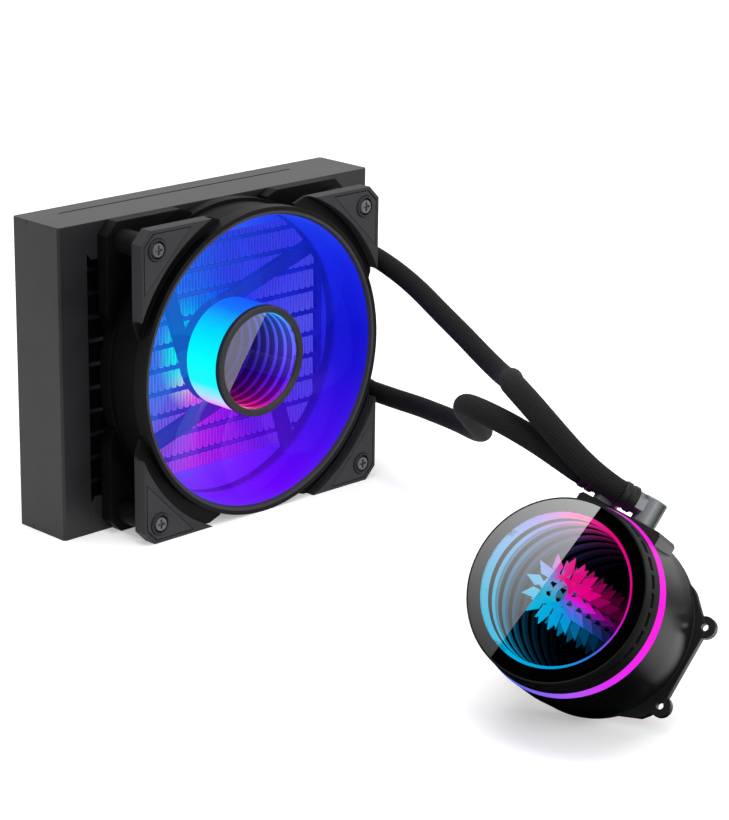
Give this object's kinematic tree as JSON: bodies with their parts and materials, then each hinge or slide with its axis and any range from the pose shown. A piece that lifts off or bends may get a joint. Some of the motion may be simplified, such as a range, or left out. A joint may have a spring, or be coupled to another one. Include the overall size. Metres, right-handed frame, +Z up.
{
  "type": "liquid cooler",
  "caption": "Closed-loop processor liquid cooler: radiator with lit fan, sleeved hoses with swivel elbows, round pump head with mirrored light ring, cold plate and mounting bracket.",
  "frame": {"origin": "centre of the radiator's bottom face, at mid-thickness", "axes": "+X along the radiator towards the hose ports' end, +Y from the fan to the radiator's back, +Z up"},
  "size_m": [0.1715, 0.2964, 0.12],
  "materials": {
    "rad_black": "satin black paint",
    "rad_core": "matte black paint",
    "rad_fins": "black coated",
    "steel": "plain",
    "ferrule": "heat-shrunk, matte",
    "fan_plastic": "fine grain",
    "pad_rubber": "matte",
    "screw_black": "black zinc",
    "copper": "copper",
    "board": "solder mask",
    "fan_hub": "frosted, lit from inside, emissive",
    "fan_blades": "frosted translucent, lit from the hub, emissive",
    "mirror": "polished",
    "hub_light": "light guide, emissive",
    "clear_glass": "half-mirrored",
    "bezel": "satin",
    "pump_black": "satin",
    "bracket": "black",
    "seal": "plain",
    "impeller": "plain",
    "side_light": "light guide, emissive",
    "ring_light": "light guide, emissive",
    "motif_light": "light guide, emissive",
    "elbow_metal": "satin nickel",
    "sleeve": "braided sleeve over rubber hose"
  },
  "bodies": {
    "cooler": {"left_tank": "rad_black", "right_tank": "rad_black", "left_header": "rad_core", "right_header": "rad_core", "top_side_plate": "rad_black", "bottom_side_plate": "rad_black", "flat_tubes": "rad_core", "fin_stack": "rad_fins", "fill_plug": "steel", "upper_port": "rad_black", "lower_port": "rad_black", "upper_port_collar": "ferrule", "lower_port_collar": "ferrule", "fan_frame": "fan_plastic", "fan_duct": "fan_plastic", "fan_rear_frame": "fan_plastic", "corner_pads": "pad_rubber", "fan_screws": "screw_black", "fan_bearing": "steel", "fan_stator": "copper", "fan_board": "board", "pump_body": "pump_black", "pump_bracket": "bracket", "bracket_screws": "steel", "cold_plate": "copper", "cold_plate_screws": "steel", "base_gasket": "seal", "pump_shaft": "steel", "pump_stator": "copper", "pump_board": "board", "side_light": "side_light", "pump_cap": "pump_black", "pump_mirror": "mirror", "mirror_light_ring": "ring_light", "centre_motif": "motif_light", "front_glass": "clear_glass", "left_elbow_seal": "seal", "right_elbow_seal": "seal", "upper_hose": "sleeve", "lower_hose": "sleeve"},
    "rotor": {"fan_rotor": "fan_hub", "fan_blades": "fan_blades", "fan_shaft": "steel", "magnet_ring": "steel", "hub_mirror": "mirror", "hub_light_ring": "hub_light", "hub_lens": "clear_glass", "hub_bezel": "bezel"},
    "pump_impeller": {"impeller": "impeller"},
    "right_fitting": {"right_elbow": "elbow_metal", "right_hose_collar": "ferrule"},
    "left_fitting": {"left_elbow": "elbow_metal", "left_hose_collar": "ferrule"}
  },
  "joints": [
    {"name": "fan_spin", "type": "hinge", "parent": "cooler", "child": "rotor", "pos_m": [0, -0.026, 0.06], "axis": [0, -1, 0], "continuous": true},
    {"name": "impeller_spin", "type": "hinge", "parent": "cooler", "child": "pump_impeller", "pos_m": [-0.05072, -0.24684, 0.0331], "axis": [-0.8099, -0.2366, 0.5367], "continuous": true},
    {"name": "right_elbow_swivel", "type": "hinge", "parent": "cooler", "child": "right_fitting", "pos_m": [-0.03978, -0.26056, 0.06872], "axis": [0.5726, -0.121, 0.8108], "range_deg": [0, 20], "deforming": ["upper_hose"]},
    {"name": "left_elbow_swivel", "type": "hinge", "parent": "cooler", "child": "left_fitting", "pos_m": [-0.04163, -0.24648, 0.07213], "axis": [0.5726, -0.121, 0.8108], "range_deg": [-20, 0], "deforming": ["lower_hose"]}
  ]
}
